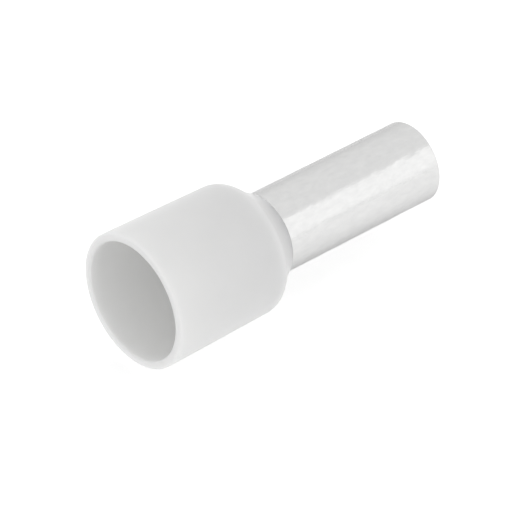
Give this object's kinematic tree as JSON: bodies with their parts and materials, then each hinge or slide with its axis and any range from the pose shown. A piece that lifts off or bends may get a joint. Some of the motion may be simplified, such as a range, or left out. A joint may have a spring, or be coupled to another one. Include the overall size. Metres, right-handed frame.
{
  "type": "insulated wire ferrule",
  "caption": "Insulated wire ferrule: a thin tinned copper crimp tube with a belled inner end, held in a moulded plastic collar that takes the wire's insulation.",
  "frame": {"origin": "centre of the collar's mouth, in the plane of the rim that the ferrule stands on", "axes": "+Z along the ferrule's axis, from the mouth of the collar to the tip of the tube; round about Z, so X and Y are free"},
  "size_m": [0.0084, 0.0084, 0.022],
  "materials": {
    "collar_plastic": "satin",
    "tinned_copper": "satin"
  },
  "bodies": {
    "root": {"collar": "collar_plastic", "tube": "tinned_copper"}
  },
  "joints": []
}
